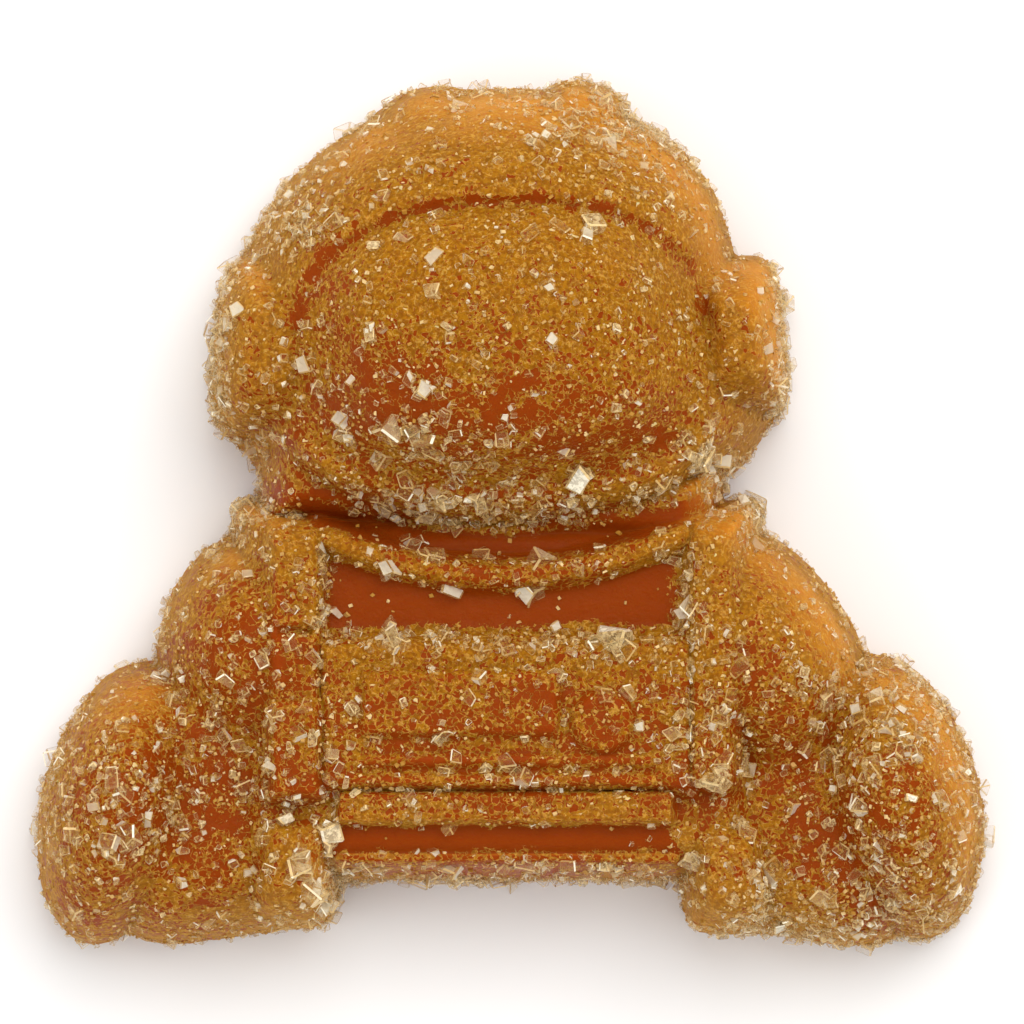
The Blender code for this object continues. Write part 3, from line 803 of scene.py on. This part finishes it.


# Sugar crystals. The real ones are clear blocks of cane sugar, tumbled on while the jelly was damp, so
# they sit at every angle and half sunk. Each is a slanted block with broken edges, which look pale,
# partly as a painted highlight, and clear faces, a few with a painted glint; the sizes run from dust up
# to coarse crystals.

# Where the crystals lie thickest: centre x and y, half width, half length, extra share.
CRYSTAL_CLUSTERS = [
    (-6.8, 9.8, 1.6, 0.9, 1.6),
    (-0.5, 0.2, 4.2, 0.8, 1.9),
    (-3.4, 2.6, 2.0, 1.4, 1.2),
    (6.3, 1.5, 0.9, 0.9, 2.0),
    (3.6, 12.6, 2.4, 1.4, 1.6),
    (-9.6, 4.6, 0.7, 4.0, 1.2),
    (9.1, 4.6, 0.6, 3.4, 1.4),
    (-8.7, 0.2, 0.9, 0.9, 1.4),
    (8.1, 0.2, 0.9, 0.9, 1.4),
    (-6.3, -3.0, 0.5, 2.2, 2.0),
    (5.8, -2.8, 0.5, 2.2, 2.0),
    (-0.3, -4.3, 5.6, 0.4, 1.8),
    (6.6, -7.2, 1.2, 2.2, 1.6),
    (9.6, -6.2, 1.4, 1.2, 1.6),
    (12.6, -9.4, 1.8, 3.6, 1.8),
    (11.6, -13.0, 2.6, 1.2, 1.8),
    (-12.8, -9.2, 2.6, 1.8, 1.4),
    (-9.3, -7.6, 1.2, 2.6, 1.4),
    (-6.0, -12.0, 0.7, 1.8, 2.2),
    (8.6, -13.4, 0.8, 1.0, 1.6),
    (0.0, -12.2, 6.0, 0.5, 0.5),
]


# The largest blocks: centre x and y, length, and cloudiness from clear 0 to milky 1.
LARGE_BLOCKS = [
    (3.35, -4.3, 0.98, 1.0),
    (2.19, 1.2, 0.95, 1.0),
    (2.69, 9.54, 0.8, 0.95),
    (6.29, 1.7, 0.8, 0.95),
    (6.79, -8.98, 0.88, 0.95),
    (-7.56, -10.31, 0.8, 0.9),
    (-6.06, -10.65, 0.85, 1.0),
    (-7.1, -11.8, 0.85, 0.85),
    (-6.66, -12.5, 0.95, 0.85),
    (-6.16, -13.1, 0.7, 0.7),
    (6.02, -11.55, 0.85, 0.9),
    (-3.98, -4.24, 0.85, 0.85),
    (-5.27, -6.51, 0.55, 0.9),
    (-6.62, -7.54, 0.5, 0.9),
    (-5.99, -8.14, 0.6, 0.6),
    (1.62, -5.57, 0.6, 0.8),
    (-2.37, -7.44, 0.6, 0.8),
    (-0.22, -8.34, 0.7, 0.5),
    (-0.9, -8.5, 0.45, 1.0),
    (-2.19, -8.61, 0.65, 0.6),
    (-3.44, -9.41, 0.55, 0.8),
    (0.45, -11.7, 0.65, 0.8),
    (1.1, -11.75, 0.6, 0.6),
    (3.22, -11.75, 0.65, 0.95),
    (-4.92, -11.7, 0.65, 0.7),
    (-2.6, -12.0, 0.6, 0.7),
    (-4.0, 2.74, 1.0, 0.1),
    (-2.93, 2.24, 1.0, 0.35),
    (-2.29, 0.28, 0.7, 0.9),
    (-1.07, 0.38, 0.7, 0.9),
    (-2.64, -1.53, 0.8, 0.4),
    (-3.37, -1.19, 0.65, 0.5),
    (0.4, -2.6, 0.75, 0.8),
    (-0.33, 2.43, 0.6, 0.6),
    (-1.95, 1.07, 0.5, 0.5),
    (-2.93, 4.05, 0.65, 0.6),
    (-6.84, 4.88, 0.6, 0.7),
    (-5.67, 2.63, 0.6, 0.85),
    (4.99, -1.19, 0.55, 0.5),
    (5.29, -1.57, 0.5, 0.8),
    (-4.65, 5.87, 0.5, 0.9),
    (-6.76, 6.15, 0.5, 0.8),
    (-6.76, 9.98, 0.6, 0.7),
    (-12.7, -10.9, 0.8, 0.8),
    (-14.5, -10.7, 0.8, 0.7),
    (-9.0, 0.1, 0.8, 0.6),
    (8.2, 0.3, 0.8, 0.6),
    (-11.2, -6.3, 0.6, 0.6),
    (-11.7, -5.6, 0.6, 0.7),
]


# The thin spread everywhere, and the share of the crystals that the grooves and the painted collar shadow
# are without.
THIN_SPREAD = 0.38
GROOVE_AND_SHADOW_LOSS = 0.9


def crystal_share(x, y):
    """How thickly crystals lie: a thin spread, with bell-shaped clusters added, and none in the grooves
    and the painted collar shadow.
    """
    share = np.full_like(x, THIN_SPREAD)
    for cx, cy, half_x, half_y, extra in CRYSTAL_CLUSTERS:
        share = share + extra * np.exp(-(((x - cx) / half_x) ** 2 + ((y - cy) / half_y) ** 2))
    return share * (1 - GROOVE_AND_SHADOW_LOSS * groove_and_shadow_share(x, y))


def scattered(count, spacing, clustering, on_walls, seed):
    """Random places on the skin, drawn by area times the crystal share to this power, and on
    upright walls only by this much of it. The first in each cubic cell of the spacing stays.
    Returns places and normals."""
    rng = np.random.default_rng(seed)
    a, b, c, d = skin_points[skin_quads].transpose(1, 0, 2)
    middle = (a + b + c + d) / 4
    area = np.linalg.norm(np.cross(c - a, d - b), axis=1)
    weight = area * crystal_share(middle[:, 0], middle[:, 1]) ** clustering
    weight *= eased((middle[:, 2] - 0.15) / 0.3)
    weight *= 0.3 + eased(swell(middle, 0.8, seed) + 0.5)
    steep = 1 - np.abs(np.cross(c - a, d - b)[:, 2]) / np.maximum(area, 1e-12)
    weight *= 1 - (1 - on_walls) * steep
    draws = 3 * count
    face = rng.choice(len(middle), draws, p=weight / weight.sum())
    s, t = rng.random((2, draws, 1))
    corners = skin_points[skin_quads[face]].transpose(1, 0, 2)
    normals = skin_normals[skin_quads[face]].mean(axis=1)
    spots = (corners[0] * (1 - s) + corners[1] * s) * (1 - t)
    spots = spots + (corners[3] * (1 - s) + corners[2] * s) * t
    _, first = np.unique(np.floor(spots / spacing).astype(int), axis=0, return_index=True)
    first = np.sort(first)[:count]
    return spots[first], normals[first] / np.linalg.norm(normals[first], axis=1)[:, None]


def on_skin(x, y):
    """The skin's nearest points, in the plan, to these places, and their normals."""
    gaps = (skin_points[:, 0] - x[:, None]) ** 2 + (skin_points[:, 1] - y[:, None]) ** 2
    nearest = gaps.argmin(axis=1)
    return skin_points[nearest], skin_normals[nearest]


SIGNS = np.array(list(np.ndindex(2, 2, 2))) * 2 - 1


def facing_out(points, face):
    """The face's points put in order round its middle, anticlockwise as seen from outside."""
    middle = points[face].mean(axis=0)
    across = points[face[0]] - middle
    across = across / np.linalg.norm(across)
    up = np.cross(middle, across)
    up = up / np.linalg.norm(up)
    angle = np.arctan2((points[face] - middle) @ up, (points[face] - middle) @ across)
    return [face[n] for n in np.argsort(angle)]


def whole_block():
    """A block's eight corners and six faces. Returns points, the corner that each belongs to,
    the faces, and which of them are broken edges: none."""
    faces = [[n for n in range(8) if SIGNS[n][k] == side] for k in range(3) for side in (-1, 1)]
    points = SIGNS.astype(float)
    return points, np.arange(8), [facing_out(points, face) for face in faces], np.zeros(6, bool)


def broken_block(bevel):
    """The same block with its edges and corners broken off: each corner becomes three points,
    one on each face that meets there, joined by twelve edge faces and eight corner faces."""
    points = np.concatenate([SIGNS * np.where(np.arange(3) == k, 1.0, 1 - bevel) for k in range(3)])
    faces = []
    for k in range(3):
        for side in (-1, 1):
            faces.append([n + 8 * k for n in range(8) if SIGNS[n][k] == side])
    for k, m in ((0, 1), (0, 2), (1, 2)):
        for side_k, side_m in ((-1, -1), (-1, 1), (1, -1), (1, 1)):
            pair = [n for n in range(8) if SIGNS[n][k] == side_k and SIGNS[n][m] == side_m]
            faces.append([pair[0] + 8 * k, pair[1] + 8 * k, pair[0] + 8 * m, pair[1] + 8 * m])
    faces += [[n, n + 8, n + 16] for n in range(8)]
    faces = [facing_out(points, face) for face in faces]
    return points, np.tile(np.arange(8), 3), faces, np.arange(26) >= 6


# A block's sides as shares of its size, from and to; how far its corners are pushed and its top
# slides, as shares of a half side; the spread of its tilt; and how high it sits before it sinks.
SIDES_FROM = (0.85, 0.6, 0.45)
SIDES_TO = (1.2, 1.0, 0.9)
CORNER_PUSH = 0.3
TOP_SLIDE = 0.25
TILT = 0.5
SEAT = 0.3
OFF_TABLE = 0.02


def blocks(template, spots, normals, sizes, sink, seed):
    """One slanted block at each spot. Its sides are the size times random shares, its corners
    are pushed about a little, its up is the surface's with a random tilt, and it is sunk by a
    share of its size. Returns points and faces of all blocks, and the mask of broken edges."""
    rng = np.random.default_rng(seed)
    points, corner, faces, broken = template
    count = len(spots)
    shares = rng.uniform(SIDES_FROM, SIDES_TO, (count, 3))
    sides = sizes[:, None] * shares / 2
    shape = points[None] + rng.uniform(-CORNER_PUSH, CORNER_PUSH, (count, 8, 3))[:, corner]
    shape = shape * sides[:, None]
    shape[:, :, 0] += shape[:, :, 2] * rng.uniform(-TOP_SLIDE, TOP_SLIDE, (count, 1))
    up = normals + rng.normal(0, TILT, (count, 3))
    up /= np.linalg.norm(up, axis=1)[:, None]
    across = np.cross(up, rng.normal(0, 1, (count, 3)))
    across /= np.linalg.norm(across, axis=1)[:, None]
    turn = np.stack([across, np.cross(up, across), up], axis=1)
    placed = spots[:, None] + np.einsum("nij,njk->nik", shape, turn)
    placed += (normals * sizes[:, None] * (SEAT - sink))[:, None]
    placed[:, :, 2] = np.maximum(placed[:, :, 2], OFF_TABLE)
    step = len(points)
    all_faces = [[p + n * step for p in face] for n in range(count) for face in faces]
    return placed.reshape(-1, 3), all_faces, np.tile(broken, count)


def add_crystals(name, template, places, sizes, clouds, sink, seed, material):
    """One piece made of all the blocks. Each face has its own random shade, each block its own
    cloudiness, and the broken edges are marked."""
    spots, normals = places
    points, faces, broken = blocks(template, spots, normals, sizes, sink, seed)
    piece = add_mesh(name, points, faces)
    rng = np.random.default_rng(seed)
    each = len(faces) // len(spots)
    add_values(piece, "broken", broken, "FACE")
    add_values(piece, "shade", rng.random(len(faces)), "FACE")
    add_values(piece, "cloud", np.repeat(clouds, each), "FACE")
    piece.data.materials.append(material)
    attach(piece, "root")
    return piece


def graded(count, low, high, power):
    """Sizes from high down to low, most of them small: a falling power curve."""
    return low + (high - low) * (1 - np.linspace(0, 1, count) ** power)


SUGAR_GOLD = (0.46, 0.22, 0.03)
SUGAR_TAN = (0.65, 0.41, 0.13)
SUGAR_CREAM = (0.79, 0.575, 0.26)
# This colour is a painted glint, put on the few faces highest in the random shade.
SUGAR_GLINT = (0.97, 0.90, 0.70)


def dust_material():
    """Sugar dust, stained gold by the jelly that it is melting into. Each grain has its own
    shade between gold and cream, most of them gold."""
    material = bpy.data.materials.new("sugar_dust")
    material.use_nodes = True
    tree = material.node_tree
    shader = tree.nodes["Principled BSDF"]
    shade = number_node(tree, "POWER", attribute(tree, "cloud"), 3.0)
    link(tree, mixed(tree, shade, SUGAR_GOLD, SUGAR_CREAM), shader.inputs["Base Color"])
    shader.inputs["Roughness"].default_value = 0.3
    shader.inputs["Specular IOR Level"].default_value = 0.2
    return material


def clear_sugar_material(name, edge_amount):
    """Clear sugar. A whole face lets through all but a tenth, and one in eight a good deal less. The few
    faces highest in the random shade are painted near-white as glints. A broken edge is paler, partly the
    sugar's pale colour and partly a painted highlight, and shows by its own random shade. A cloudy block
    is milky in streaks, as it is where it has cracked."""
    material = bpy.data.materials.new(name)
    material.use_nodes = True
    tree = material.node_tree
    shader = tree.nodes["Principled BSDF"]
    broken = attribute(tree, "broken")
    shade = attribute(tree, "shade")
    pale = mixed(tree, attribute(tree, "cloud"), SUGAR_TAN, SUGAR_CREAM)
    # Painted glint: the faces highest in the random shade take a near-white colour.
    pale = mixed(tree, between(tree, shade, 0.88, 0.97), pale, SUGAR_GLINT)
    link(tree, pale, shader.inputs["Base Color"])
    cloudy = between(tree, attribute(tree, "cloud"), 0.75, 1.0)
    where = tree.nodes.new("ShaderNodeTexCoord").outputs["Object"]
    streaks = between(tree, noise_node(tree, where, 0.22, 3.0, 0.7), 0.42, 0.58)
    cloudy = number_node(tree, "MULTIPLY", cloudy, number_node(tree, "ADD", streaks, 0.1))
    face = scaled(tree, between(tree, shade, 0.8, 1.0), 0.5, 0.08)
    edge = scaled(tree, shade, edge_amount, 0.15)
    amount = number_node(tree, "MAXIMUM", face, number_node(tree, "MULTIPLY", edge, broken))
    amount = number_node(tree, "ADD", amount, number_node(tree, "MULTIPLY", cloudy, 0.5), clamp=True)
    link(tree, amount, shader.inputs["Alpha"])
    add_bump(tree, streaks, 0.6, 0.03)
    shader.inputs["Roughness"].default_value = 0.15
    shader.inputs["Specular IOR Level"].default_value = 0.5
    return material


# The large blocks are a little smaller than they look, and three chips lie beside each: how far
# off, and how large, as shares of the block's length.
BLOCK_SHRINK = 0.88
CHIPS_EACH = 3
CHIP_SPREAD = 0.35
CHIP_SIZES = (0.35, 0.65)

rng = np.random.default_rng(51)
places = scattered(count=6000, spacing=0.12, clustering=0.8, on_walls=0.6, seed=21)
sizes = graded(len(places[0]), low=0.06, high=0.16, power=0.4)
clouds = rng.random(len(sizes))
add_crystals("sugar_dust", whole_block(), places, sizes, clouds, 0.15, 22, dust_material())

places = scattered(count=4000, spacing=0.26, clustering=1.2, on_walls=0.65, seed=31)
sizes = graded(len(places[0]), low=0.16, high=0.42, power=0.45)
clouds = rng.random(len(sizes))
clear = clear_sugar_material("sugar_crystals", edge_amount=0.55)
add_crystals("sugar_crystals", broken_block(0.3), places, sizes, clouds, 0.15, 32, clear)

spots, normals = scattered(count=380, spacing=0.7, clustering=1.3, on_walls=1.0, seed=41)
large = np.array(LARGE_BLOCKS)
chips = np.repeat(large, CHIPS_EACH, axis=0)
chips[:, :2] += rng.normal(0, CHIP_SPREAD, (len(chips), 2)) * chips[:, 2:3]
chips[:, 2] *= rng.uniform(*CHIP_SIZES, len(chips))
large = np.concatenate([large * (1, 1, BLOCK_SHRINK, 1), chips])
large_spots, large_normals = on_skin(large[:, 0], large[:, 1])
places = np.concatenate([large_spots, spots]), np.concatenate([large_normals, normals])
sizes = np.concatenate([large[:, 2], graded(len(spots), low=0.42, high=0.78, power=0.35)])
clouds = np.concatenate([large[:, 3], 0.9 * rng.random(len(spots))])
clear = clear_sugar_material("coarse_sugar", edge_amount=0.8)
add_crystals("coarse_sugar", broken_block(0.18), places, sizes, clouds, 0.25, 42, clear)


# The table, the lamps and the camera. The sweet lies on its back on plain white card under a
# soft lamp beyond its head, with a weaker one on the other side, and is seen from straight
# above through a long lens. It fills all but a sixteenth of the frame's width.

FIGURE_WIDTH = 32.0
FIGURE_SHARE = 959 / 1024
FRAME_WIDTH = FIGURE_WIDTH / FIGURE_SHARE
CAMERA_HEIGHT = 1200.0
FOCUS_HEIGHT = 3.0
CARD_HALF = 6.0
CARD_WHITE = 0.93


def add_floor():
    """A square of white card, far larger than the view."""
    corners = [(-1, -1, 0), (1, -1, 0), (1, 1, 0), (-1, 1, 0)]
    mesh = bpy.data.meshes.new("card")
    mesh.from_pydata(np.array(corners) * CARD_HALF, [], [(0, 1, 2, 3)])
    floor = bpy.data.objects.new("card", mesh)
    bpy.context.scene.collection.objects.link(floor)
    material = bpy.data.materials.new("white_card")
    material.use_nodes = True
    shader = material.node_tree.nodes["Principled BSDF"]
    shader.inputs["Base Color"].default_value = (CARD_WHITE, CARD_WHITE, CARD_WHITE, 1)
    shader.inputs["Roughness"].default_value = 0.9
    shader.inputs["Specular IOR Level"].default_value = 0.1
    mesh.materials.append(material)


def add_lamp(name, place, size, watts, colour):
    """A square lamp at this place that faces the origin."""
    light = bpy.data.lights.new(name, "AREA")
    light.size = size
    light.energy = watts
    light.color = colour
    lamp = bpy.data.objects.new(name, light)
    lamp.location = place
    lamp.rotation_mode = "QUATERNION"
    lamp.rotation_quaternion = lamp.location.to_track_quat("Z", "Y")
    bpy.context.scene.collection.objects.link(lamp)


add_floor()
add_lamp("key", place=(0.2, 0.48, 0.97), size=0.8, watts=8.2, colour=(1.0, 0.98, 0.95))
add_lamp("fill", place=(-0.6, -0.3, 0.8), size=0.5, watts=1.0, colour=(1.0, 0.98, 0.96))

world = bpy.data.worlds.new("studio")
world.use_nodes = True
world.node_tree.nodes["Background"].inputs["Color"].default_value = (1, 1, 1, 1)
world.node_tree.nodes["Background"].inputs["Strength"].default_value = 0.8
bpy.context.scene.world = world

lens = bpy.data.cameras.new("camera")
lens.sensor_width = 36.0
lens.lens = lens.sensor_width * (CAMERA_HEIGHT - FOCUS_HEIGHT) / FRAME_WIDTH
lens.clip_end = 100.0
camera = bpy.data.objects.new("camera", lens)
camera.location = (plan_shift[0] * MM, plan_shift[1] * MM, CAMERA_HEIGHT * MM)
bpy.context.scene.collection.objects.link(camera)
bpy.context.scene.camera = camera
bpy.context.scene.view_settings.view_transform = "Standard"
